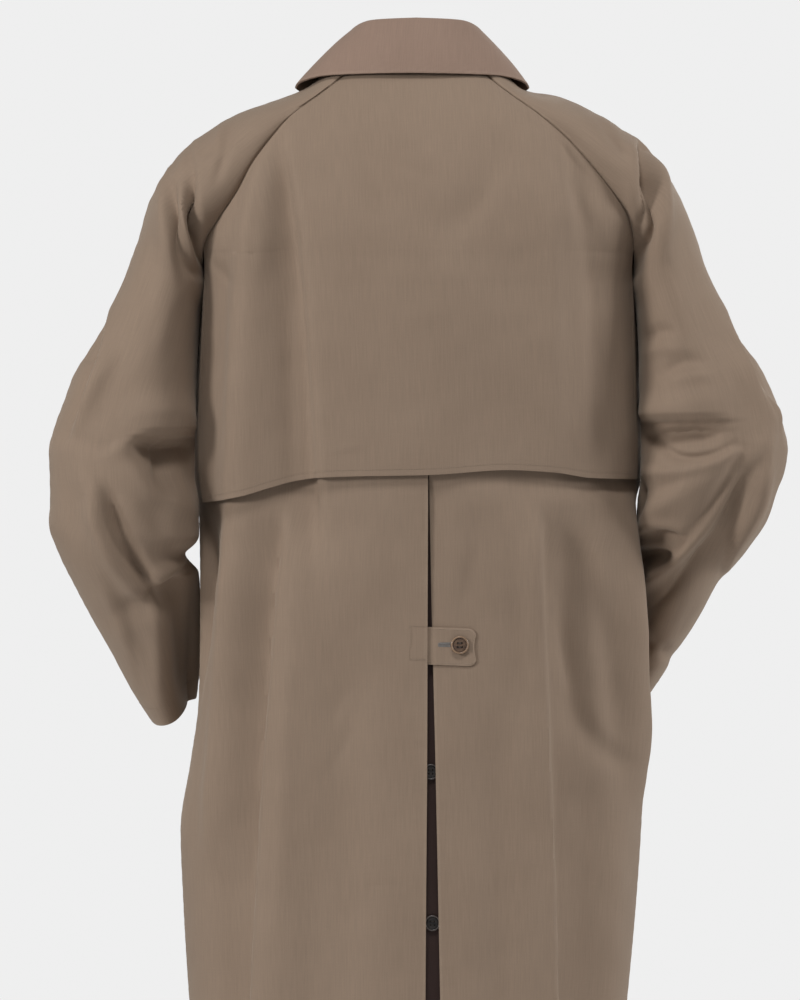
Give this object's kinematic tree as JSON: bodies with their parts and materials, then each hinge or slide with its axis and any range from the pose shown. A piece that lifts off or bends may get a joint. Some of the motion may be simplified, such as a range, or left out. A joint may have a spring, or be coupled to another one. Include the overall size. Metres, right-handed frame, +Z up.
{
  "type": "balmacaan coat",
  "caption": "Worn raglan balmacaan coat seen hollow, with a back cape, a turned-down collar and a centre-back vent closed by a buttoned tab.",
  "frame": {"origin": "middle of the neck opening, level with the back neck seam, where the wearer's neck and shoulders hold the coat", "axes": "+Z is up, the back of the coat faces -Y, its front faces +Y, and the wearer's left side is at -X"},
  "size_m": [0.848, 0.395, 1.1921],
  "materials": {
    "cloth": "taupe brown cotton gabardine, matt with a faint sheen",
    "collar_cloth": "the same gabardine, a little redder where it is doubled and pressed",
    "vent_cloth": "very dark brown facing cloth behind the vent",
    "horn": "brown horn-look resin, satin gloss",
    "dark_horn": "near-black horn-look resin, satin gloss"
  },
  "bodies": {
    "root": {"back_left": "cloth", "back_right": "cloth", "front_left": "cloth", "front_right": "cloth", "sleeve_back_left": "cloth", "sleeve_front_left": "cloth", "sleeve_back_right": "cloth", "sleeve_front_right": "cloth", "cape": "cloth", "tab": "cloth", "collar_stand": "collar_cloth", "collar_fall": "collar_cloth", "vent_underlay": "vent_cloth", "tab_button": "horn", "vent_button_upper": "dark_horn", "vent_button_lower": "dark_horn"}
  },
  "joints": []
}
